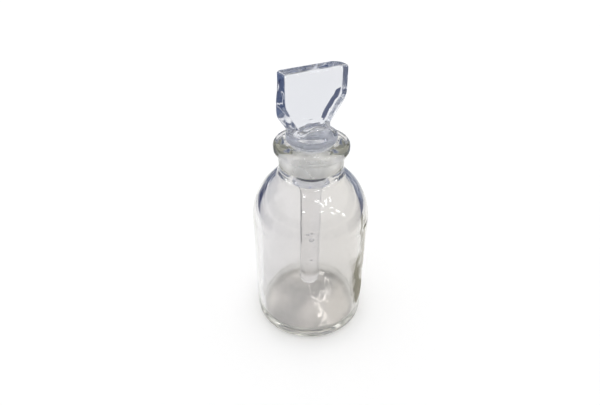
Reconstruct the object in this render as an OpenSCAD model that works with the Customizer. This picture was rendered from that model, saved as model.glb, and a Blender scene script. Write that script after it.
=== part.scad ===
// Small clear-glass reagent bottle with a ground-in flat-head stopper and a dip rod.
// Units are millimetres and +Z is up. The origin is the middle of the face the bottle stands on.
// The stopper's flat head is wide along X. The bottle, its neck and the rod are turned about Z.

/* [Bottle body] */
// Outer diameter of the straight side
body_d = 37; // [34:0.5:48]
// Height from the surface the bottle stands on to the top of its lip
bottle_h = 66.1; // [54:0.1:84]
// Radius of the shoulder, seen from the side
shoulder_r = 19.35; // [17:0.05:23]
// Radius of the heel, where the side turns under the base
heel_r = 2.8; // [2:0.1:4]
// Thickness of the side and shoulder
wall = 2; // [1.2:0.1:2.6]
// Thickness of the floor at its middle
floor_t = 1.8; // [1.4:0.1:3]
// Radius of the inside corner between the floor and the side
floor_corner_r = 2.2; // [1.5:0.1:3.5]
// Diameter of the shallow hollow under the base
hollow_d = 26; // [20:0.5:29]
// Depth of the shallow hollow under the base
hollow_depth = 1; // [0.6:0.1:1.4]

/* [Neck and lip] */
// Outer diameter of the neck
neck_d = 19.6; // [17.5:0.1:23.5]
// Straight length of the neck, from the shoulder's hollow curve to the lip
neck_h = 5.6; // [4:0.1:8]
// Radius of the hollow curve between the neck and the shoulder
neck_curve_r = 2.8; // [2:0.1:4]
// How far the lip stands out past the neck
lip_out = 1.5; // [1:0.1:2.5]
// Thickness of the lip
lip_h = 3.3; // [2.6:0.1:4.5]
// Radius of the lip's outer edges
lip_edge_r = 1.2; // [0.6:0.1:1.25]
// Width of the bevel round the mouth, outside the ground bore
mouth_bevel = 2.1; // [1.2:0.1:2.4]
// Depth of the bevel round the mouth
mouth_depth = 1.1; // [0.6:0.1:1.5]

/* [Stopper plug] */
// Diameter of the ground plug at the top of the lip
plug_d = 12.3; // [10.3:0.1:14.8]
// Ground length of the plug, down from the top of the lip
ground_len = 8.9; // [7.4:0.1:10]
// How much the ground plug narrows in diameter for each millimetre of its length
plug_taper = 0.1; // [0.05:0.01:0.14]
// Length of the plain end of the plug below its ground length
tail_len = 4; // [3.2:0.1:6]
// Width of the flat shoulder left round the rod at the plug's end
tail_land = 0.9; // [0.8:0.1:1.4]
// Radius of the rounded edge at the plug's end
tail_edge_r = 0.7; // [0.3:0.1:0.8]

/* [Stopper head] */
// How far the collar stands out past the plug
collar_out = 1.45; // [1:0.05:1.9]
// Height of the collar's side
collar_h = 2.4; // [2:0.1:3.6]
// Radius of the collar's rounded edges
collar_edge_r = 0.8; // [0.3:0.1:0.9]
// Width of the flat ring left on the collar's top, outside the flare
collar_land = 0.65; // [0.2:0.05:1]
// Width of the flat head
head_w = 19.7; // [16.4:0.1:24]
// Thickness of the flat head
head_t = 5.25; // [4:0.05:6.5]
// Height of the flat head above the collar's top
head_h = 18.8; // [16:0.1:24]
// Straight part of the head's sides, down from its top
head_side_h = 6; // [4:0.1:7.5]
// Radius where the head's sides turn in towards the collar
head_turn_r = 7; // [5:0.1:8]
// Width of the head's foot, below its sloping sides
head_foot_w = 10; // [8.6:0.1:11]
// Height of the head's foot above the collar's top
head_foot_h = 2; // [1:0.1:3]
// Radius of the head's two top corners
head_corner_r = 0.8; // [0.3:0.1:2]

/* [Dip rod] */
// Diameter of the rod
rod_d = 6.8; // [5.6:0.1:8.2]
// Height of the rod's tip above the inside floor
rod_tip_gap = 7.9; // [4.5:0.1:12]
// Diameter of the rod's narrow upper end, inside the plug
spigot_d = 5; // [4:0.1:5.4]
// Length of the rod's narrow upper end
spigot_len = 5; // [4:0.1:8]

/* [Fits] */
// Gap between the ground plug and the ground bore, measured along the radius
ground_gap = 0.04; // [0.02:0.01:0.08]
// Gap between the collar and the top of the lip
collar_gap = 0.2; // [0.1:0.05:0.5]
// Gap round the rod's narrow end, measured along the radius
spigot_gap = 0.04; // [0.02:0.01:0.08]
// Gap above and below the rod's narrow end
spigot_end_gap = 0.1; // [0.05:0.05:0.3]

/* [Hidden] */
$fn = 96;
arc_step = 4;                                 // degrees between the points of an arc
bottle_glass = [0.86, 0.93, 0.90, 0.45];
stopper_glass = [0.82, 0.88, 0.96, 0.60];
rod_glass = [0.88, 0.92, 0.96, 0.60];

// Heights and radii of the ground joint
plug_r = plug_d / 2;
ground_z = bottle_h - ground_len;             // lower end of the ground length
ground_end_r = plug_r - ground_len * plug_taper / 2;

// Outside of the bottle: side, shoulder arc, hollow neck curve, neck
body_r = body_d / 2;
neck_r = neck_d / 2;
lip_r = neck_r + lip_out;
lip_z = bottle_h - lip_h;                     // underside of the lip
neck_z = lip_z - neck_h;                      // lower end of the straight neck
shoulder_x = body_r - shoulder_r;             // the shoulder arc's centre is this far from the axis
neck_curve_x = neck_r + neck_curve_r;
shoulder_rise = sqrt(pow(shoulder_r + neck_curve_r, 2) - pow(neck_curve_x - shoulder_x, 2));
shoulder_z = neck_z - shoulder_rise;          // top of the straight side
shoulder_end = atan2(shoulder_rise, neck_curve_x - shoulder_x);

// Inside of the bottle: floor, side, shoulder arc, throat, ground bore, bevel
inner_r = body_r - wall;
inner_shoulder_r = shoulder_r - wall;
floor_z = hollow_depth + floor_t;
bore_r = ground_end_r + ground_gap;           // the ground bore at its lower end
bore_x = bore_r - shoulder_x;
bore_rise = ground_z - shoulder_z;
throat_r = (pow(bore_x, 2) + pow(bore_rise, 2) - pow(inner_shoulder_r, 2))
    / (2 * (inner_shoulder_r - bore_x));      // touches both the bore and the inner shoulder
throat_end = atan2(bore_rise, bore_x + throat_r);
mouth_r = plug_r + mouth_bevel;

// Hollow under the base, part of a sphere
hollow_r = hollow_d / 2;
hollow_ball_r = (pow(hollow_r, 2) + pow(hollow_depth, 2)) / (2 * hollow_depth);
hollow_end = atan2(hollow_ball_r - hollow_depth, hollow_r);

// Stopper heights and radii
collar_r = plug_r + collar_out;
collar_z = bottle_h + collar_gap;             // underside of the collar
collar_top = collar_z + collar_h;             // flat ring on the collar's top
flare_in = head_t / 2 - 0.2;                  // the flare ends just inside the head's flat faces
flare_r = collar_r - collar_edge_r - collar_land - flare_in;
head_top = collar_top + head_h;
head_turn_z = head_top - head_side_h;         // lower end of the head's straight sides
head_turn_x = head_w / 2 - head_turn_r;
head_foot_z = collar_top + head_foot_h;       // the sloping sides start here
head_root_z = collar_z + collar_h / 2;        // the head is carried down inside the collar to here
foot_x = head_foot_w / 2 - head_turn_x;
foot_z = head_foot_z - head_turn_z;
head_turn_end = atan2(foot_z, foot_x) + acos(head_turn_r / norm([foot_x, foot_z]));

// Plug end, socket and rod
rod_r = rod_d / 2;
spigot_r = spigot_d / 2;
tail_z = ground_z - tail_len;                 // end of the plug
tail_r = rod_r + tail_land;
tail_lean = atan2(ground_end_r - tail_r, tail_len);
socket_r = spigot_r + spigot_gap;
rod_top = tail_z - spigot_end_gap;            // the rod's shoulder, just below the plug
spigot_top = tail_z + spigot_len - spigot_end_gap;
socket_top = tail_z + spigot_len;
rod_tip = floor_z + rod_tip_gap;

// Points along an arc round a centre, from one angle to another
function arc(centre, r, from, to) =
    let (steps = max(2, ceil(abs(to - from) / arc_step)))
    [for (i = [0:steps]) let (a = from + (to - from) * i / steps) centre + r * [cos(a), sin(a)]];

// Half of the bottle's cross section, round the outside and back down the inside
bottle_outline = concat(
    arc([0, hollow_depth - hollow_ball_r], hollow_ball_r, 90, hollow_end),
    arc([body_r - heel_r, heel_r], heel_r, -90, 0),
    arc([shoulder_x, shoulder_z], shoulder_r, 0, shoulder_end),
    arc([neck_curve_x, neck_z], neck_curve_r, 180 + shoulder_end, 180),
    [[neck_r, lip_z]],
    arc([lip_r - lip_edge_r, lip_z + lip_edge_r], lip_edge_r, -90, 0),
    arc([lip_r - lip_edge_r, bottle_h - lip_edge_r], lip_edge_r, 0, 90),
    [[mouth_r, bottle_h]],
    [[plug_r - mouth_depth * plug_taper / 2 + ground_gap, bottle_h - mouth_depth]],
    arc([bore_r + throat_r, ground_z], throat_r, 180, 180 + throat_end),
    arc([shoulder_x, shoulder_z], inner_shoulder_r, throat_end, 0),
    arc([inner_r - floor_corner_r, floor_z + floor_corner_r], floor_corner_r, 0, -90),
    [[0, floor_z]]
);

// Half of the stopper's turned part: plain end, ground plug, collar and hollow flare
plug_outline = concat(
    [[0, tail_z]],
    arc([tail_r - tail_edge_r, tail_z + tail_edge_r], tail_edge_r, -90, -tail_lean),
    [[ground_end_r, ground_z]],
    [[plug_r, bottle_h]],
    [[plug_r, collar_z]],
    arc([collar_r - collar_edge_r, collar_z + collar_edge_r], collar_edge_r, -90, 0),
    arc([collar_r - collar_edge_r, collar_top - collar_edge_r], collar_edge_r, 0, 90),
    arc([flare_in + flare_r, collar_top + flare_r], flare_r, 270, 180),
    [[0, collar_top + flare_r]]
);

// Right half of the flat head, from its root inside the collar up to its top
head_half = concat(
    [[0, head_root_z]],
    [[head_foot_w / 2, head_root_z]],
    [[head_foot_w / 2, head_foot_z]],
    arc([head_turn_x, head_turn_z], head_turn_r, head_turn_end, 0),
    arc([head_w / 2 - head_corner_r, head_top - head_corner_r], head_corner_r, 0, 90),
    [[0, head_top]]
);

// Half of the rod: round tip, straight length, shoulder and narrow upper end
rod_outline = concat(
    arc([0, rod_tip + rod_r], rod_r, -90, 0),
    [[rod_r, rod_top]],
    [[spigot_r, rod_top]],
    [[spigot_r, spigot_top]],
    [[0, spigot_top]]
);

// Blown bottle: body, shoulder, neck and lip in one piece, open through the ground bore
module bottle() {
    color(bottle_glass)
        rotate_extrude() polygon(bottle_outline);
}

// One half of the flat head, as a plate
module head_plate() {
    translate([0, head_t / 2, 0]) rotate([90, 0, 0])
        linear_extrude(height = head_t) polygon(head_half);
}

// Pressed stopper: flat head, flared collar and ground plug, with a socket for the rod
module stopper() {
    color(stopper_glass)
        difference() {
            union() {
                rotate_extrude() polygon(plug_outline);
                head_plate();
                mirror([1, 0, 0]) head_plate();
            }
            translate([0, 0, tail_z - 1])
                cylinder(r = socket_r, h = socket_top - tail_z + 1);
        }
}

// Drawn glass rod that hangs from the plug almost to the floor
module dip_rod() {
    color(rod_glass)
        rotate_extrude() polygon(rod_outline);
}

bottle();
stopper();
dip_rod();
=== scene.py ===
# %% [markdown]
# A small reagent bottle, in clear glass
#
# This lesson dresses a finished CAD model of a small laboratory bottle: the blown bottle, the
# pressed stopper with its flat head, and the rod that hangs from the stopper almost to the floor.
# The CAD model fixes every size and every moving joint. What is left to Blender is what makes
# glass look like glass: smooth walls of an honest thickness, soft edges, ground faces, seed
# bubbles, and a room to reflect.

# %% Load the frame
import math

import bpy
import numpy as np
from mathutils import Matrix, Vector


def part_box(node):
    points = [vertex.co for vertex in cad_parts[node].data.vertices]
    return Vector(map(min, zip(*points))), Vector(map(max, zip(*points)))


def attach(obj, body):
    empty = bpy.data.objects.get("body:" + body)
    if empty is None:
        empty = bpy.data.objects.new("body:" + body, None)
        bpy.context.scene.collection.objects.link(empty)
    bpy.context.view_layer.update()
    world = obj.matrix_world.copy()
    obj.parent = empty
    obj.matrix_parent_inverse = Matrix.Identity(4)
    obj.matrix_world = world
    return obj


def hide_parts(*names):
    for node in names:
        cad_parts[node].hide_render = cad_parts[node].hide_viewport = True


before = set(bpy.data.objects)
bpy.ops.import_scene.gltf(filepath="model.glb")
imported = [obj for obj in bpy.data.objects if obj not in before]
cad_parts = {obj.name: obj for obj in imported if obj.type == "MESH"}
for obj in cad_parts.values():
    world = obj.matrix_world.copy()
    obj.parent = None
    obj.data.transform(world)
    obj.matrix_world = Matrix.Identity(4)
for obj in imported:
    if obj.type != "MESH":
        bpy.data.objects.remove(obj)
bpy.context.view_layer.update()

# %% [markdown]
# Sizes from the frame
#
# The outer sizes come from the boxes of the three CAD nodes. The glass wall, the radii of the
# curves and the lengths of the ground joint can't be read from a box, so they are named here once,
# in millimetres turned into metres, with the values the design uses. The outline of the head, the
# bubbles and the studio have numbers of their own, further down.

# %% Sizes
MM = 0.001
bottle_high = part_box("bottle")[1]
stopper_low, stopper_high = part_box("stopper")
rod_low, rod_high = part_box("dip_rod")

body_r = bottle_high.y
lip_z = bottle_high.z
head_half_w = stopper_high.x
collar_r = stopper_high.y
plug_end_z = stopper_low.z
head_top_z = stopper_high.z
rod_r = rod_high.y
rod_tip_z = rod_low.z
rod_top_z = rod_high.z

wall = 2.0 * MM
heel_r = 2.8 * MM
shoulder_r = 19.35 * MM
neck_r = 9.8 * MM
neck_curve_r = 2.8 * MM
neck_h = 5.6 * MM
lip_h = 3.3 * MM
lip_r = 11.3 * MM
lip_edge_r = 1.2 * MM
hollow_r = 13.0 * MM
hollow_depth = 1.0 * MM
floor_z = 2.8 * MM
floor_corner_r = 2.2 * MM
plug_r = 6.15 * MM
ground_len = 8.9 * MM
taper = 0.05
ground_gap = 0.04 * MM
mouth_bevel = 2.1 * MM
mouth_depth = 1.1 * MM
print(f"body {2 * body_r / MM:.1f} mm across, lip at {lip_z / MM:.1f} mm, "
      f"top at {head_top_z / MM:.1f} mm")

# %% [markdown]
# Drawing an outline
#
# A glass bottle is a turned shape, so half of its cross section says everything. The outline is
# built from straight lines and arcs of circles, in the same order as a glassworker would name
# them. Each helper gives an array of points, one row for a radius and a height.


# %% Lines and arcs
def arc(centre, radius, start, end, count=12):
    """Points at centre + radius * (cos a, sin a). The angle a runs from start to end in degrees."""
    a = np.radians(np.linspace(start, end, count))
    return np.stack([centre[0] + radius * np.cos(a), centre[1] + radius * np.sin(a)], axis=1)


def line(start, end, count=8):
    """Points at equal steps from start to end."""
    t = np.linspace(0, 1, count)[:, None]
    return (1 - t) * np.array(start) + t * np.array(end)


def joined(*pieces):
    """The pieces one after another, with a point that repeats the one before it left out."""
    path = np.concatenate(pieces)
    step = np.linalg.norm(np.diff(path, axis=0), axis=1)
    return path[np.concatenate([[True], step > 1e-7])]


# %% [markdown]
# From a lattice of points to a mesh
#
# Each piece is a lattice: rings of points, one above another, closed all the way round.
# Neighbouring rings are joined by four-sided faces, and the first and last ring are closed onto
# one point, so that the skin has no hole. Glass needs that: a ray has to find its way in and its
# way out.


# %% Lattice to mesh
BUBBLE_RINGS, BUBBLE_COLUMNS = 11, 20


def lattice_faces(count, columns, offset=0):
    """The faces of a closed lattice: quads between its rings, then a fan onto each end point."""
    ring = np.arange(count - 1)[:, None] * columns
    here = np.arange(columns)[None, :]
    after = (here + 1) % columns
    above = ring + columns
    quads = np.stack([ring + here, ring + after, above + after, above + here], axis=2)
    here, after = here[0], after[0]
    last = (count - 1) * columns
    start = np.full(columns, count * columns)
    first_fan = np.stack([after, here, start], axis=1)
    last_fan = np.stack([last + here, last + after, start + 1], axis=1)
    faces = (quads.reshape(-1, 4), first_fan, last_fan)
    return [face for part in faces for face in (part + offset).tolist()]


def seed_bubble(centre, radius, stretch):
    """Rings, start and end of a small egg-shaped hollow in the glass:
    (r sin a cos t, r sin a sin t, stretch r cos a). The rings run from top to bottom, so that the
    faces look into the hollow, away from the glass."""
    a = np.linspace(0, np.pi, BUBBLE_RINGS + 2)[1:-1, None]
    t = np.linspace(0, 2 * np.pi, BUBBLE_COLUMNS, endpoint=False)[None, :]
    shape = np.stack(
        [np.sin(a) * np.cos(t), np.sin(a) * np.sin(t), stretch * np.cos(a) + 0 * t], axis=2
    )
    centre = np.array(centre)
    to_end = np.array([0, 0, radius * stretch])
    return centre + radius * shape, centre + to_end, centre - to_end


def closed_mesh(name, rings, start, end, finishes, hollows=()):
    """A closed skin. rings has the shape (ring, column, xyz). start and end are the points that
    close the first and the last ring. finishes gives a material number for each strip of faces:
    one for the first fan, one for each gap between rings and one for the last fan. hollows are
    bubbles in the glass."""
    count, columns = rings.shape[:2]
    points = np.concatenate([rings.reshape(-1, 3), [start], [end]])
    faces = lattice_faces(count, columns)
    skin_faces = len(faces)
    for hollow, top, bottom in hollows:
        faces += lattice_faces(*hollow.shape[:2], offset=len(points))
        points = np.concatenate([points, hollow.reshape(-1, 3), [top], [bottom]])
    mesh = bpy.data.meshes.new(name)
    mesh.from_pydata(points.tolist(), [], faces)
    numbers = np.concatenate([
        np.repeat(finishes[1:-1], columns), np.full(columns, finishes[0]),
        np.full(columns, finishes[-1]), np.zeros(len(faces) - skin_faces),
    ])
    mesh.polygons.foreach_set("material_index", numbers.astype(np.int32))
    mesh.shade_smooth()
    mesh.update()
    piece = bpy.data.objects.new(name, mesh)
    bpy.context.scene.collection.objects.link(piece)
    print(f"{name}: {len(mesh.polygons)} faces, {volume_of(mesh) * 1e6:.2f} cm3")
    return piece


def volume_of(mesh):
    """The sum of a . (b x c) / 6 over all triangles: positive when the faces look outwards."""
    mesh.calc_loop_triangles()
    corner = np.zeros(len(mesh.loop_triangles) * 3, np.int32)
    mesh.loop_triangles.foreach_get("vertices", corner)
    place = np.zeros(len(mesh.vertices) * 3)
    mesh.vertices.foreach_get("co", place)
    a, b, c = place.reshape(-1, 3)[corner].reshape(-1, 3, 3).transpose(1, 0, 2)
    return float(np.einsum("ij,ij->i", a, np.cross(b, c)).sum() / 6)


# %% [markdown]
# Glass
#
# Clear glass is one shader with three parts: full transmission, the refraction of soda-lime
# glass, and a faint colour that grows with thickness. The colour sits in the volume, so an edge
# that is seen through several millimetres turns grey-green while the thin side stays clear. What
# keeps glass from looking like a computer's glass is its skin: a slow waviness from the mould or
# the flame, and a haze of fingerprints that takes the edge off the reflections. Both come from
# one shared node group.


# %% The skin of handled glass
def new_group(name, inputs, outputs):
    """A shader node group with named number inputs and the given outputs."""
    group = bpy.data.node_groups.new(name, "ShaderNodeTree")
    for label, value in inputs.items():
        socket = group.interface.new_socket(label, in_out="INPUT", socket_type="NodeSocketFloat")
        socket.default_value = value
    for label, kind in outputs.items():
        group.interface.new_socket(label, in_out="OUTPUT", socket_type=kind)
    return group, group.nodes.new("NodeGroupInput"), group.nodes.new("NodeGroupOutput")


def noise(tree, place, scale, detail, roughness=0.5):
    """A noise texture on the given coordinates; scale may be a number or a socket."""
    node = tree.nodes.new("ShaderNodeTexNoise")
    node.inputs["Detail"].default_value = detail
    node.inputs["Roughness"].default_value = roughness
    tree.links.new(place, node.inputs["Vector"])
    if isinstance(scale, (int, float)):
        node.inputs["Scale"].default_value = scale
    else:
        tree.links.new(scale, node.inputs["Scale"])
    return node.outputs["Fac"]


def remap(tree, value, low_in, high_in, low_out, high_out):
    """value carried from one range to another and held at the ends. Each end may be a number or a
    socket."""
    node = tree.nodes.new("ShaderNodeMapRange")
    tree.links.new(value, node.inputs["Value"])
    ends = {"From Min": low_in, "From Max": high_in, "To Min": low_out, "To Max": high_out}
    for label, end in ends.items():
        if isinstance(end, (int, float)):
            node.inputs[label].default_value = end
        else:
            tree.links.new(end, node.inputs[label])
    return node.outputs["Result"]


def bump(tree, height, distance, normal=None):
    """A bump whose height of one stands for the distance that the socket gives, in metres."""
    node = tree.nodes.new("ShaderNodeBump")
    tree.links.new(height, node.inputs["Height"])
    node.inputs["Strength"].default_value = 1.0
    tree.links.new(distance, node.inputs["Distance"])
    if normal is not None:
        tree.links.new(normal, node.inputs["Normal"])
    return node.outputs["Normal"]


def make_skin_group():
    """Slow waves and a fine grain in the normal, a haze of touch marks in the roughness, and two
    masks for a second colour, used for painted light and shade: a drift along X and a soft cloud."""
    group, given, result = new_group(
        "handled_glass_skin",
        {"Wave Scale": 90.0, "Wave Depth": 0.0001, "Grain Scale": 2500.0, "Grain Depth": 0.0,
         "Clean": 0.0, "Hazy": 0.05},
        {"Roughness": "NodeSocketFloat", "Normal": "NodeSocketVector", "Drift": "NodeSocketFloat",
         "Cloud": "NodeSocketFloat"},
    )
    place = group.nodes.new("ShaderNodeTexCoord").outputs["Object"]
    split = group.nodes.new("ShaderNodeSeparateXYZ")
    group.links.new(place, split.inputs["Vector"])
    drift = remap(group, split.outputs["X"], -0.012, 0.014, 0.0, 1.0)
    group.links.new(drift, result.inputs["Drift"])
    cloud = remap(group, noise(group, place, 62.0, 2.0), 0.42, 0.58, 0.0, 1.0)
    group.links.new(cloud, result.inputs["Cloud"])
    waves = noise(group, place, given.outputs["Wave Scale"], 1.0)
    grain = noise(group, place, given.outputs["Grain Scale"], 3.0, 0.6)
    marks = noise(group, place, 140.0, 5.0, 0.62)
    haze = remap(group, marks, 0.42, 0.72, given.outputs["Clean"], given.outputs["Hazy"])
    normal = bump(group, waves, given.outputs["Wave Depth"])
    normal = bump(group, grain, given.outputs["Grain Depth"], normal)
    group.links.new(haze, result.inputs["Roughness"])
    group.links.new(normal, result.inputs["Normal"])
    return group


skin_group = make_skin_group()
print("shared group:", skin_group.name)


# %% Glass materials
def new_material(name):
    """An empty node material with its output node."""
    material = bpy.data.materials.new(name)
    material.use_nodes = True
    material.node_tree.nodes.clear()
    return material, material.node_tree, material.node_tree.nodes.new("ShaderNodeOutputMaterial")


def glass(name, shown, depth_colour, density, ior=1.52, second=None, mask="Drift", through=1.0,
          **skin):
    """Clear glass: a Principled shader with transmission, a colour that gathers with depth and the
    shared skin with this material's own values. With a second colour, the shown one gives way to
    it where the skin's mask of that name says. What doesn't go through is scattered back, as a
    ground face does. Without values for the skin the surface is smooth."""
    material, tree, output = new_material(name)
    shader = tree.nodes.new("ShaderNodeBsdfPrincipled")
    shader.inputs["Base Color"].default_value = (*shown, 1)
    shader.inputs["Metallic"].default_value = 0.0
    shader.inputs["Transmission Weight"].default_value = through
    shader.inputs["IOR"].default_value = ior
    tree.links.new(shader.outputs["BSDF"], output.inputs["Surface"])
    if skin:
        node = tree.nodes.new("ShaderNodeGroup")
        node.node_tree = skin_group
        for label, value in skin.items():
            node.inputs[label.replace("_", " ").title()].default_value = value
        tree.links.new(node.outputs["Roughness"], shader.inputs["Roughness"])
        tree.links.new(node.outputs["Normal"], shader.inputs["Normal"])
        if second is not None:
            mix = tree.nodes.new("ShaderNodeMix")
            mix.data_type = "RGBA"
            mix.inputs["A"].default_value = (*shown, 1)
            mix.inputs["B"].default_value = (*second, 1)
            tree.links.new(node.outputs[mask], mix.inputs["Factor"])
            tree.links.new(mix.outputs["Result"], shader.inputs["Base Color"])
    else:
        shader.inputs["Roughness"].default_value = 0.0
    absorb = tree.nodes.new("ShaderNodeVolumeAbsorption")
    absorb.inputs["Color"].default_value = (*depth_colour, 1)
    absorb.inputs["Density"].default_value = density
    tree.links.new(absorb.outputs["Volume"], output.inputs["Volume"])
    return material


BOTTLE_DEPTH = (0.72, 0.73, 0.65)
STOPPER_DEPTH = (0.66, 0.70, 0.80)
DEEP, FAINT = 20.0, 12.0
# The bottle's grey tint with painted light: cool at -X, where a cool light falls, and warm at +X,
# where a warm light falls.
TINT_WITH_COOL_PAINTED_LIGHT, TINT_WITH_WARM_PAINTED_LIGHT = (0.862, 0.856, 0.866), (0.857, 0.842, 0.82)
# The base and the inner floor are darker glass: painted shade where the bottle shades the floor,
# broken by a soft cloud of painted light.
BASE_PAINTED_SHADE, BASE_PAINTED_LIGHT = (0.66, 0.65, 0.64), (0.87, 0.85, 0.825)
GROUND = dict(through=0.45, wave_depth=0.00005, grain_scale=4000.0, grain_depth=0.00004,
              clean=0.25, hazy=0.4)

# The wall's tint drifts along X from cool to warm: painted light from the two sides.
bottle_clear = glass("bottle_glass", TINT_WITH_COOL_PAINTED_LIGHT, BOTTLE_DEPTH, DEEP, second=TINT_WITH_WARM_PAINTED_LIGHT, mask="Drift",
                     wave_scale=110.0, wave_depth=0.00012, clean=0.0, hazy=0.03)
bottle_ground = glass("bottle_ground_glass", (0.98, 0.98, 0.98), BOTTLE_DEPTH, FAINT,
                      wave_scale=110.0, **GROUND)
# Painted shade on the base and the inner floor, with a cloud of painted light.
bottle_base = glass("bottle_base_glass", BASE_PAINTED_SHADE, BOTTLE_DEPTH, DEEP, second=BASE_PAINTED_LIGHT,
                    mask="Cloud", wave_scale=160.0, wave_depth=0.0003, clean=0.02, hazy=0.12)
stopper_clear = glass("stopper_glass", (0.80, 0.81, 0.84), STOPPER_DEPTH, FAINT,
                      wave_scale=210.0, wave_depth=0.00024, clean=0.0, hazy=0.06)
stopper_ground = glass("stopper_ground_glass", (0.98, 0.98, 0.99), STOPPER_DEPTH, FAINT,
                       wave_scale=160.0, **GROUND)
rod_clear = glass("rod_glass", (0.90, 0.89, 0.885), STOPPER_DEPTH, FAINT,
                  wave_scale=240.0, wave_depth=0.0001, clean=0.0, hazy=0.02)
print("glass materials:", [m.name for m in bpy.data.materials])

# %% [markdown]
# The fused joint
#
# The rod and the plug are two pieces of glass that were melted together. Where they meet there is
# no surface left, so light goes straight on. The two pieces still need faces there, because each
# is a closed solid of its own. Those faces get glass with a refraction of one, which bends
# nothing and reflects nothing, and the joint can't be seen.

# %% Fused glass
stopper_fused = glass("stopper_fused_joint", (1, 1, 1), STOPPER_DEPTH, FAINT, ior=1.0)
rod_fused = glass("rod_fused_joint", (1, 1, 1), STOPPER_DEPTH, FAINT, ior=1.0)
print("fused materials:", stopper_fused.name, rod_fused.name)

# %% [markdown]
# The bottle
#
# The bottle was blown in a mould, so its outside is true and its inside is not: the wall wanders
# by a tenth of a millimetre or so. That wandering is worth modelling in the mesh, since it bends
# what is seen through the wall. The outline runs from the middle of the base, round the outside,
# over the lip, down the ground bore and the inside to the middle of the floor.

# %% Bottle outline
neck_z = lip_z - lip_h - neck_h
shoulder_x = body_r - shoulder_r
neck_curve_x = neck_r + neck_curve_r
rise = math.sqrt((shoulder_r + neck_curve_r) ** 2 - (neck_curve_x - shoulder_x) ** 2)
shoulder_z = neck_z - rise
shoulder_end = math.degrees(math.atan2(rise, neck_curve_x - shoulder_x))

inner_r = body_r - wall
ground_z = lip_z - ground_len
ground_end_r = plug_r - taper * ground_len
bore_r = ground_end_r + ground_gap
bore_x = bore_r - shoulder_x
bore_rise = ground_z - shoulder_z
inner_shoulder_r = shoulder_r - wall
throat_r = (bore_x**2 + bore_rise**2 - inner_shoulder_r**2) / (2 * (inner_shoulder_r - bore_x))
throat_end = math.degrees(math.atan2(bore_rise, bore_x + throat_r))
bore_top_r = plug_r - taper * mouth_depth + ground_gap
mouth_r = plug_r + mouth_bevel

hollow_ball_r = (hollow_r**2 + hollow_depth**2) / (2 * hollow_depth)
hollow_end = math.degrees(math.asin((hollow_ball_r - hollow_depth) / hollow_ball_r))
under_lip_r = 0.7 * MM
print(f"shoulder starts at {shoulder_z / MM:.1f} mm, ground bore from {ground_z / MM:.1f} mm")

base = joined(
    arc((0, hollow_depth - hollow_ball_r), hollow_ball_r, 89.9, hollow_end, 24),
    line((hollow_r, 0), (body_r - heel_r, 0), 5),
    arc((body_r - heel_r, heel_r), heel_r, -90, 0, 16),
)
outside = joined(
    base,
    line((body_r, heel_r), (body_r, shoulder_z), 30),
    arc((shoulder_x, shoulder_z), shoulder_r, 0, shoulder_end, 40),
    arc((neck_curve_x, neck_z), neck_curve_r, 180 + shoulder_end, 180, 14),
    line((neck_r, neck_z), (neck_r, lip_z - lip_h - under_lip_r), 8),
    arc((neck_r + under_lip_r, lip_z - lip_h - under_lip_r), under_lip_r, 180, 90, 8),
    arc((lip_r - lip_edge_r, lip_z - lip_h + lip_edge_r), lip_edge_r, -90, 0, 12),
    arc((lip_r - lip_edge_r, lip_z - lip_edge_r), lip_edge_r, 0, 90, 12),
)
mouth = joined(
    line((lip_r - lip_edge_r, lip_z), (mouth_r, lip_z), 4),
    line((mouth_r, lip_z), (bore_top_r, lip_z - mouth_depth), 10),
)
ground_bore = line((bore_top_r, lip_z - mouth_depth), (bore_r, ground_z), 16)
inside = joined(
    arc((bore_r + throat_r, ground_z), throat_r, 180, 180 + throat_end, 12),
    arc((shoulder_x, shoulder_z), inner_shoulder_r, throat_end, 0, 40),
    line((inner_r, shoulder_z), (inner_r, floor_z + floor_corner_r), 30),
    arc((inner_r - floor_corner_r, floor_z + floor_corner_r), floor_corner_r, 0, -90, 12),
    line((inner_r - floor_corner_r, floor_z), (0.05 * MM, floor_z), 24),
)


# %% The mould's waviness
def wander(turn, height, seed, size):
    """A smooth wandering of the given size, all from one seed. It is a sum of waves round the
    axis, s / n**0.7 * sin(n t + phase + drift * height / 6 mm), so the phase drifts with height."""
    draw = np.random.default_rng(seed)
    total = np.zeros(np.broadcast(turn, height).shape)
    for waves in (1, 2, 3, 4, 5):
        phase = draw.uniform(0, 2 * np.pi)
        drift = draw.uniform(-1, 1)
        strength = draw.uniform(0.4, 1)
        angle = waves * turn + phase + drift * height / (6 * MM)
        total = total + strength / waves**0.7 * np.sin(angle)
    return size * total / 2


# %% Bottle mesh
COLUMNS = 256
turn = np.linspace(0, 2 * np.pi, COLUMNS, endpoint=False)


def turned(path, push=0.0, lift=0.0):
    """Rings of points from an outline turned about the axis: (r cos t, r sin t, z), with r moved
    by push and z moved by lift."""
    r = np.repeat(path[:, :1], COLUMNS, axis=1) + push
    z = np.repeat(path[:, 1:], COLUMNS, axis=1) + lift
    return np.stack([r * np.cos(turn), r * np.sin(turn), z], axis=2)


def ramp(value, length):
    """value / length, held between 0 and 1: a share that grows from nothing to all."""
    return np.clip(value / length, 0, 1)


path = joined(outside, mouth, ground_bore, inside)
first_ground = len(joined(outside, mouth)) - 1
last_ground = first_ground + len(ground_bore) - 1

# Places along the outline are counted in points. The wall wanders between the ground bore and the
# inner corner, and the floor from that corner to the axis.
wall_end, floor_start, base_face_start = len(path) - 28, len(path) - 22, len(path) - 26
along = np.arange(len(path))
inner_share = ramp(along - last_ground - 6, 20.0) * ramp(wall_end - along, 12.0)
inner_push = inner_share[:, None] * wander(turn[None, :], path[:, 1:], 7, 0.10 * MM)
floor_share = ramp(along - floor_start, 8.0) * ramp(path[:, 0], 3 * MM)
floor_lift = floor_share[:, None] * wander(turn[None, :], 2.2 * path[:, :1], 11, 0.22 * MM)
bottle_rings = turned(path, inner_push, floor_lift)
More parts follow.
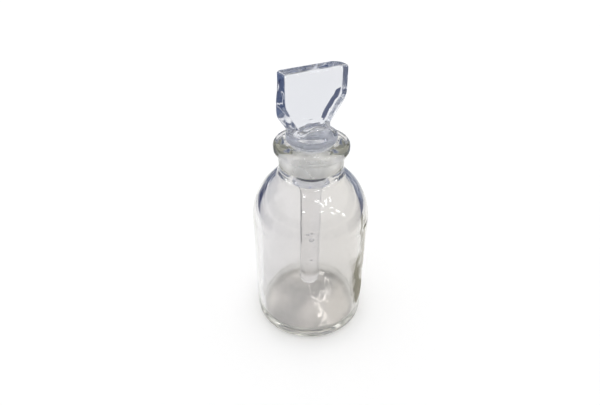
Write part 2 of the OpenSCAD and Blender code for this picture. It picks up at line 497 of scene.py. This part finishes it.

# Material numbers. The third one is the base on the bottle, with painted shade, and the fused joint
# on the stopper.
CLEAR, GROUND_FACE, BASE_FACE, FUSED_FACE = 0, 1, 2, 2
finishes = np.full(len(path) + 1, CLEAR)
finishes[first_ground + 1:last_ground + 1] = GROUND_FACE
finishes[:len(base) + 1] = BASE_FACE
finishes[base_face_start:] = BASE_FACE
bottle_piece = closed_mesh(
    "blown_bottle", bottle_rings, (0, 0, hollow_depth), (0, 0, floor_z), finishes
)
for material in (bottle_clear, bottle_ground, bottle_base):
    bottle_piece.data.materials.append(material)
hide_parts("bottle")
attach(bottle_piece, "bottle_body")

# %% [markdown]
# The stopper
#
# The stopper is a turned plug and collar below and a flat head above. Every level cut through it
# can be seen whole from the axis, so one rule describes it all: at each height and in each
# direction, the skin lies at the larger of two distances, the turned outline's and the flat
# head's. A soft maximum in place of a hard one gives the small fillet where the head grows out of
# the collar.

# %% Stopper sizes
collar_gap = 0.2 * MM
collar_h = 2.4 * MM
collar_edge_r = 0.8 * MM
collar_land = 0.65 * MM
head_half_t = 2.625 * MM
tail_land = 0.9 * MM
tail_edge_r = 0.6 * MM
joint_fillet_r = 0.3 * MM
socket_r = 2.54 * MM
socket_top_z = rod_top_z + 0.1 * MM
joint_z = plug_end_z

collar_z = lip_z + collar_gap
collar_top_z = collar_z + collar_h
collar_edge_z = collar_top_z - 0.06 * MM
flare_in = head_half_t - 0.2 * MM
flare_r = collar_r - collar_edge_r - collar_land - flare_in
tail_r = rod_r + tail_land
print(f"collar from {collar_z / MM:.1f} mm to {collar_top_z / MM:.1f} mm, "
      f"flare of {flare_r / MM:.2f} mm, head to {head_top_z / MM:.1f} mm")

# %% [markdown]
# The head's four corners
#
# The head was squeezed flat in tongs while it was soft, and its short sides were not squeezed
# square. Each of its four upright edges therefore has its own outline: straight down from the
# top, an arc that turns in, then a straight slope to the foot. At every height the four edges
# make a four-sided section with rounded corners.


# %% Flat head
def edge_outline(z, width, straight_z, turn_r, lean, foot):
    """An upright edge's distance from the middle: width above straight_z, then an arc of radius
    turn_r that turns in until it leans by the given angle in degrees, then a straight slope, and
    never less than foot."""
    lean = math.radians(lean)
    down = np.clip(straight_z - z, 0, None)
    on_arc = np.minimum(down, turn_r * math.sin(lean))
    fall = turn_r - np.sqrt(turn_r**2 - on_arc**2) + (down - on_arc) * math.tan(lean)
    return np.maximum(width - fall, foot)


def rounded_section(turn, sides, corner_radii):
    """Distance from the axis to the edge of a section with straight sides, in the direction turn.
    Each side is a normal (nx, ny) and an offset d: the points where n . p = d. Each corner between
    a side and the next is a circle of its own radius that touches both."""
    c, s = np.cos(turn), np.sin(turn)
    reach = np.inf
    for nx, ny, d in sides:
        facing = nx * c + ny * s
        to_side = np.where(facing > 1e-6, d / np.maximum(facing, 1e-6), np.inf)
        reach = np.minimum(reach, to_side)
    for index, radius in enumerate(corner_radii):
        ax, ay, ad = sides[index]
        bx, by, bd = sides[(index + 1) % len(sides)]
        area = ax * by - ay * bx
        cx = ((ad - radius) * by - (bd - radius) * ay) / area
        cy = ((bd - radius) * ax - (ad - radius) * bx) / area
        along = c * cx + s * cy
        hit = along + np.sqrt(np.clip(along**2 - cx**2 - cy**2 + radius**2, 0, None))
        px, py = hit * c - cx, hit * s - cy
        inside = (ax * py - ay * px >= 0) & (px * by - py * bx >= 0)
        reach = np.where(inside, hit, reach)
    return reach


def head_sides(z, inset):
    """The head's four sides at a height, each moved in by inset: right, far, left and near."""
    near_right = edge_outline(z, 9.95 * MM, 81.2 * MM, 7 * MM, 36, 4.7 * MM)
    far_right = edge_outline(z, 9.7 * MM, 81.8 * MM, 7 * MM, 36, 4.5 * MM)
    near_left = edge_outline(z, 9.8 * MM, 81 * MM, 6 * MM, 28, 5.4 * MM)
    far_left = edge_outline(z, 11 * MM, 77 * MM, 5 * MM, 36, 6.6 * MM)
    far_left = np.minimum(far_left, 9.95 * MM + 1.1 * MM * ramp(82 * MM - z, 6 * MM))
    sides = []
    for near, far, x in ((near_right, far_right, 1.0), (near_left, far_left, -1.0)):
        middle, slant = (near + far) / 2, (far - near) / (2 * head_half_t)
        size = np.sqrt(1 + slant**2)
        sides.append((x / size, -slant / size, middle / size - inset))
    zero = np.zeros_like(z)
    far, near = (zero, zero + 1, head_half_t - inset), (zero, zero - 1, head_half_t - inset)
    return [sides[0], far, sides[1], near]


def soft_excess(difference, blend):
    """What a soft maximum adds to a hard one: blend / 4 where its two values are the same, and
    nothing where they differ by blend or more."""
    return np.clip(1 - np.abs(difference) / blend, 0, 1) ** 2 * blend / 4


def soft_maximum(a, b, blend):
    """The larger of a and b, with a rounded change-over where they differ by less than blend."""
    return np.maximum(a, b) + soft_excess(a - b, blend)


def soft_limit(value, limit, blend):
    """value, held between -limit and limit, with a rounded change-over before each end."""
    size = np.minimum(np.abs(value), limit) - soft_excess(np.abs(value) - limit, blend)
    return np.sign(value) * np.clip(size, 0, None)


# %% Stopper rings
def crowded_turn(count, crowd_at, crowd_width, crowding):
    """Angles round the axis, closer together near the four corners of the head: the running sum
    of a density that rises by crowding near each corner's direction."""
    fine = np.linspace(0, 2 * np.pi, 7201)
    folded = np.abs((fine + np.pi / 2) % np.pi - np.pi / 2)
    density = 1 + crowding * np.exp(-(((folded - crowd_at) / crowd_width) ** 2))
    total = np.concatenate([[0], np.cumsum((density[1:] + density[:-1]) / 2)])
    return np.interp(np.linspace(0, total[-1], count, endpoint=False), total, fine)


STOPPER_COLUMNS = 360
s_turn = crowded_turn(STOPPER_COLUMNS, 0.30, 0.16, 4.0)[None, :]

plug = joined(
    line((socket_r * 0.1, socket_top_z), (socket_r, socket_top_z), 4),
    line((socket_r, socket_top_z), (socket_r, joint_z), 4),
    line((socket_r, joint_z), (rod_r, joint_z), 4),
)
seam_rows = len(plug)
tail_start_z = joint_z + joint_fillet_r
plug = joined(
    plug,
    arc((rod_r + joint_fillet_r, joint_z), joint_fillet_r, 180, 90, 6),
    arc((tail_r - tail_edge_r, tail_start_z + tail_edge_r), tail_edge_r, -90, -18, 10),
    line((tail_r, tail_start_z + 0.6 * MM), (ground_end_r, ground_z), 12),
)
first_plug_ground = len(plug) - 1
plug = joined(plug, line((ground_end_r, ground_z), (plug_r, lip_z - 0.6 * MM), 20))
last_plug_ground = len(plug) - 1
plug = joined(
    plug,
    line((plug_r, lip_z - 0.6 * MM), (plug_r, collar_z - 0.15 * MM), 4),
    arc((plug_r + 0.15 * MM, collar_z - 0.15 * MM), 0.15 * MM, 180, 90, 4),
    arc((collar_r - collar_edge_r, collar_z + collar_edge_r), collar_edge_r, -90, 0, 12),
    arc((collar_r - collar_edge_r, collar_edge_z - collar_edge_r), collar_edge_r, 0, 90, 14),
)
collar_rows = len(plug) - 1
plug = joined(
    plug,
    line((collar_r - collar_edge_r, collar_edge_z), (flare_in + flare_r, collar_top_z), 5),
    arc((flare_in + flare_r, collar_top_z + flare_r), flare_r, 270, 180, 40),
)

top_round = 0.9 * MM
upper = np.linspace(plug[-1, 1] + 0.1 * MM, head_top_z - top_round, 80)
rounding = np.radians(np.linspace(0, 90, 10))[1:]
rounded_z = head_top_z - top_round + top_round * np.sin(rounding)
rows_z = np.concatenate([plug[:, 1], upper, rounded_z])
rows_r = np.concatenate([plug[:, 0], np.zeros(len(upper) + len(rounding))])
rounded_inset = top_round * (1 - np.cos(rounding))
inset = np.concatenate([np.zeros(len(plug) + len(upper)), rounded_inset])
sides = [tuple(part[:, None] for part in side) for side in head_sides(rows_z, inset)]
corner_sizes = (3.6, 0.5 + 0.9 * ramp(rows_z - 79 * MM, 5 * MM), 0.5, 0.45)
corners = [np.maximum(size * MM - inset, 0.05 * MM)[:, None] for size in corner_sizes]
plate = rounded_section(s_turn, sides, corners)
with_head = np.arange(len(rows_z))[:, None] > collar_rows - 6
radius = np.where(with_head, soft_maximum(rows_r[:, None], plate, 0.7 * MM), rows_r[:, None])
shrink = np.array([0.8, 0.6, 0.4, 0.2, 0.08])
radius = np.concatenate([radius, shrink[:, None] * radius[-1:]])
rows_z = np.concatenate([rows_z, np.full(len(shrink), head_top_z)])
across = soft_limit(radius * np.cos(s_turn), head_half_w, 0.7 * MM)
levels = np.repeat(rows_z[:, None], STOPPER_COLUMNS, axis=1)
stopper_rings = np.stack([across, radius * np.sin(s_turn), levels], axis=2)
finishes = np.full(len(rows_z) + 1, CLEAR)
finishes[first_plug_ground + 1:last_plug_ground + 1] = GROUND_FACE
finishes[:seam_rows] = FUSED_FACE
stopper_piece = closed_mesh(
    "pressed_stopper", stopper_rings, (0, 0, socket_top_z), (0, 0, head_top_z), finishes
)
for material in (stopper_clear, stopper_ground, stopper_fused):
    stopper_piece.data.materials.append(material)
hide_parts("stopper")
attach(stopper_piece, "stopper_body")

# %% [markdown]
# The dip rod
#
# The rod was drawn by hand from hot glass, so its thickness swells and thins a little along its
# length. Its tip was rounded in a flame. A few small bubbles, which glassmakers call seeds, were
# caught in it.

# %% Rod mesh
spigot_r = 2.5 * MM
rod_joint_z = joint_z - 0.01 * MM
rod_path = joined(
    arc((0, rod_tip_z + rod_r), rod_r, -89, 0, 20),
    line((rod_r, rod_tip_z + rod_r), (rod_r, rod_joint_z), 120),
)
rod_seam = len(rod_path)
rod_path = joined(
    rod_path,
    line((rod_r, rod_joint_z), (spigot_r, rod_joint_z), 4),
    line((spigot_r, rod_joint_z), (spigot_r, rod_top_z), 4),
    line((spigot_r, rod_top_z), (spigot_r * 0.1, rod_top_z), 4),
)
rod_z = rod_path[:, 1:]
body_share = ramp(rod_z - rod_tip_z, 4 * MM) * ramp(rod_joint_z - rod_z, 3 * MM)
swell = -0.5 * (1 + np.sin(rod_z / (3.1 * MM)) * np.sin(rod_z / (5.3 * MM) + 1))
rod_push = body_share * (0.12 * MM * swell + wander(turn[None, :], rod_z, 3, 0.03 * MM))
ROD_FUSED_FACE = 1
finishes = np.full(len(rod_path) + 1, CLEAR)
finishes[rod_seam:] = ROD_FUSED_FACE

# Each row holds a bubble's place, radius and height over width. All but the last are in
# millimetres.
seeds = [
    seed_bubble((x * MM, y * MM, z * MM), radius * MM, stretch)
    for x, y, z, radius, stretch in (
        (0.1, -0.6, 29.8, 0.62, 1.1),
        (-0.3, 0.3, 31.9, 0.40, 0.8),
        (0.5, 0.2, 32.3, 0.25, 1.3),
        (0.2, -0.2, 21.6, 0.36, 0.9),
        (-0.8, -0.4, 20.3, 0.16, 1.2),
    )
]
rod_piece = closed_mesh(
    "drawn_rod", turned(rod_path, rod_push), (0, 0, rod_tip_z), (0, 0, rod_top_z), finishes, seeds
)
for material in (rod_clear, rod_fused):
    rod_piece.data.materials.append(material)
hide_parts("dip_rod")
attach(rod_piece, "rod_body")

# %% [markdown]
# Floor and light
#
# Clear glass shows what stands round it. A pale floor and a plain pale room make it bright. Its
# edges gather light from far to the sides, so a studio that works with glass lays dark flags
# there, just outside the view, and the edges turn into dark lines. A few narrow lamps leave the
# small sharp glints. Flags and lamps are seen only in the glass: they throw no light or shadow on
# the floor.
#
# The bottle is looked at from every side, and a flag that helps one view would stand in the way
# of another. So most flags are there only for light that was reflected inside the glass. Two are
# there without a reflection: one draws the dark slope of the head and one the dark edge of the rod,
# and in some views they show where they aren't wanted.


# %% Stage helpers
BAND_STEPS = 48
LAMP_DISTANCE = 1.2
LAMPS_AIM_AT_Z = 40 * MM


def stage_piece(name, points, faces, material):
    """A piece of the studio, which isn't part of the bottle."""
    mesh = bpy.data.meshes.new(name)
    mesh.from_pydata(np.asarray(points).tolist(), [], faces)
    mesh.materials.append(material)
    piece = bpy.data.objects.new(name, mesh)
    bpy.context.scene.collection.objects.link(piece)
    return piece


def matte(name, colour):
    """A dull surface of one colour."""
    material, tree, output = new_material(name)
    shader = tree.nodes.new("ShaderNodeBsdfPrincipled")
    shader.inputs["Base Color"].default_value = (*colour, 1)
    shader.inputs["Roughness"].default_value = 0.9
    shader.inputs["Specular IOR Level"].default_value = 0.0
    tree.links.new(shader.outputs["BSDF"], output.inputs["Surface"])
    return material


def flag_card(name, colour, reflections=1, crossings=(0, 99)):
    """A dull surface that is there only for light that was reflected at least so many times in
    the glass, and whose crossings of glass faces are within the given pair. All other light
    passes the card by."""
    material, tree, output = new_material(name)
    path = tree.nodes.new("ShaderNodeLightPath")
    reflected, crossed = path.outputs["Glossy Depth"], path.outputs["Transmission Depth"]
    least, most = crossings
    shown = remap(tree, reflected, reflections - 0.6, reflections - 0.4, 0.0, 1.0)
    shown = remap(tree, crossed, least - 0.6, least - 0.4, 0.0, shown)
    shown = remap(tree, crossed, most + 0.4, most + 0.6, shown, 0.0)
    open_air = tree.nodes.new("ShaderNodeBsdfTransparent")
    dull = tree.nodes.new("ShaderNodeBsdfDiffuse")
    dull.inputs["Color"].default_value = (*colour, 1)
    mix = tree.nodes.new("ShaderNodeMixShader")
    tree.links.new(shown, mix.inputs["Fac"])
    tree.links.new(open_air.outputs["BSDF"], mix.inputs[1])
    tree.links.new(dull.outputs["BSDF"], mix.inputs[2])
    tree.links.new(mix.outputs["Shader"], output.inputs["Surface"])
    return material


def lamp_face(name, colour, strength):
    """A surface that gives light of its own."""
    material, tree, output = new_material(name)
    shader = tree.nodes.new("ShaderNodeEmission")
    shader.inputs["Color"].default_value = (*colour, 1)
    shader.inputs["Strength"].default_value = strength
    tree.links.new(shader.outputs["Emission"], output.inputs["Surface"])
    return material


def only_in_glass(piece):
    """Lets glass show the piece, and hides it from the camera and the floor."""
    piece.visible_camera = False
    piece.visible_diffuse = False
    piece.visible_shadow = False


def band(name, inner, outer, start, end, material):
    """A curved band round the axis, from the directions start to end in degrees. inner and outer
    are the radius and the height of its two edges, in metres."""
    count = BAND_STEPS + 1
    t = np.radians(np.linspace(start, end, count))
    edges = [np.stack([r * np.cos(t), r * np.sin(t), np.full(count, z)], axis=1)
             for r, z in (inner, outer)]
    faces = [[i, i + count, i + count + 1, i + 1] for i in range(BAND_STEPS)]
    only_in_glass(stage_piece(name, np.concatenate(edges), faces, material))


def strip_lamp(name, direction, height, width, length, tilt, material):
    """A flat lamp that faces the bottle from the given direction and height in degrees. width and
    length are in degrees too, and tilt turns it in its own plane."""
    t, e, k = np.radians([direction, height, tilt])
    out = np.array([np.cos(t) * np.cos(e), np.sin(t) * np.cos(e), np.sin(e)])
    side = np.array([-np.sin(t), np.cos(t), 0])
    up = np.cross(out, side)
    side, up = side * np.cos(k) + up * np.sin(k), up * np.cos(k) - side * np.sin(k)
    half_w, half_l = LAMP_DISTANCE * np.tan(np.radians([width / 2, length / 2]))
    middle = LAMP_DISTANCE * out + np.array([0, 0, LAMPS_AIM_AT_Z])
    corners = [middle + x * half_w * side + y * half_l * up
               for x, y in ((-1, -1), (1, -1), (1, 1), (-1, 1))]
    only_in_glass(stage_piece(name, corners, [[0, 1, 2, 3]], material))


# %% Floor
FLOOR_R, FLOOR_COLUMNS, FLOOR_DROP = 3.0, 96, 0.02 * MM
floor_turn = np.linspace(0, 2 * np.pi, FLOOR_COLUMNS, endpoint=False)
floor_points = np.stack([
    FLOOR_R * np.cos(floor_turn), FLOOR_R * np.sin(floor_turn), np.full(FLOOR_COLUMNS, -FLOOR_DROP)
], axis=1)
pale = matte("studio_floor", (0.96, 0.96, 0.96))
stage_piece("studio_floor", floor_points, [list(range(FLOOR_COLUMNS))], pale)
print("floor radius", FLOOR_R, "m")

# %% [markdown]
# Flags
#
# A flag is a band with a radius and a height for each of its edges, between two directions. The
# number of glass faces that light crossed tells the pieces apart. Two faces at most is one piece
# of solid glass, such as the head or the wall. Five or more is the wall and the rod.

# %% Flags
# Flags on the floor lie at three heights, so that no two overlap in one plane.
LOW, MIDDLE, HIGH = 0.04 * MM, 0.05 * MM, 0.06 * MM
SOLID_GLASS, THROUGH_THE_ROD = (0, 2), (5, 8)

slate = flag_card("slate_flag", (0.05, 0.06, 0.13))
blue_grey = flag_card("blue_grey_flag", (0.10, 0.13, 0.22))
olive = flag_card("olive_flag", (0.30, 0.29, 0.24))
rod_edge = flag_card("rod_edge_flag", (0.04, 0.04, 0.05), 0, THROUGH_THE_ROD)
head_side = flag_card("head_side_flag", (0.15, 0.19, 0.30), 1, SOLID_GLASS)
ring = flag_card("edge_flag", (0.10, 0.12, 0.19), 1, (2, 2))
head_edge = flag_card("head_edge_flag", (0.06, 0.08, 0.16), 0, SOLID_GLASS)

for name, inner, outer, start, end, material in (
    ("left_flag", (0.115, MIDDLE), (0.6, MIDDLE), 98, 170, slate),
    ("right_flag", (0.115, MIDDLE), (0.6, MIDDLE), -50, 22, slate),
    ("near_flag", (0.022, MIDDLE), (0.046, MIDDLE), -40, -6, olive),
    ("middle_flag", (0.034, MIDDLE), (0.115, MIDDLE), -6, 6, olive),
    ("rod_edge_flag", (0.030, HIGH), (0.115, HIGH), -14, 8, rod_edge),
    ("table_flag", (0.30, MIDDLE), (1.3, MIDDLE), 22, 98, blue_grey),
    ("far_flag", (1.3, 0.05), (1.3, 0.75), 22, 140, blue_grey),
    ("head_side_flag", (0.12, HIGH), (0.30, HIGH), 14, 42, head_side),
    ("edge_flag", (0.115, LOW), (0.6, LOW), -180, 180, ring),
    ("edge_wall", (1.35, 0.03), (1.35, 0.45), 140, 382, ring),
    ("head_edge_flag", (0.28, HIGH), (1.2, HIGH), 66, 90, head_edge),
):
    band(name, inner, outer, start, end, material)

# %% Lamps
# Each row holds a lamp's direction, height, width, length and tilt, all in degrees.
LAMPS = (
    (-94, 34, 1.2, 9, 80), (-99, 55, 1.5, 10, 70), (-88, 47, 2.2, 12, 30), (-72, 47, 2.2, 12, -35),
    (-57, 47, 1.4, 9, -30), (-69, 35, 1.2, 9, 50), (-70, 24, 1.2, 9, 50), (-57, 22, 2.0, 8, 40),
    (-50, 12, 1.6, 8, 30), (-147, 63, 3.5, 3.5, 0), (-136, 35, 3.5, 3.5, 20), (58, 47, 1.6, 14, 0),
)
lamp = lamp_face("strip_lamp", (1.0, 1.0, 1.0), 14.0)
for number, angles in enumerate(LAMPS, 1):
    strip_lamp(f"strip_lamp_{number}", *angles, lamp)
print(len(LAMPS), "strip lamps")

# %% Room
world = bpy.data.worlds.new("room")
bpy.context.scene.world = world
world.use_nodes = True
world.node_tree.nodes["Background"].inputs["Color"].default_value = (1.0, 1.0, 1.0, 1)
world.node_tree.nodes["Background"].inputs["Strength"].default_value = 1.08
bpy.context.scene.view_settings.view_transform = "Standard"

# %% [markdown]
# Light paths
#
# A ray crosses ten and more glass faces in the neck, so the paths are long. The filter that blurs
# sharp reflections seen through glass is off, as it would turn the floor inside the bottle dark.

# %% Light paths
cycles = bpy.context.scene.cycles
cycles.blur_glossy = 0.0
cycles.max_bounces = 48
cycles.transmission_bounces = 48
cycles.glossy_bounces = 48

# %% Camera
STAND_OFF = 118.0 * MM
CAMERA_HEIGHT = 125.4 * MM
CAMERA_TURN = math.radians(-30)
LOOK_DOWN = 0.60363
LOOK_ASIDE = 0.02842
camera_data = bpy.data.cameras.new("camera")
camera_data.sensor_width = 36
camera_data.lens = 27
camera_data.clip_start = 0.01
camera = bpy.data.objects.new("camera", camera_data)
camera.location = (
    STAND_OFF * math.sin(CAMERA_TURN), -STAND_OFF * math.cos(CAMERA_TURN), CAMERA_HEIGHT
)
camera.rotation_euler = (math.pi / 2 - LOOK_DOWN, 0, CAMERA_TURN + LOOK_ASIDE)
bpy.context.scene.collection.objects.link(camera)
bpy.context.scene.camera = camera
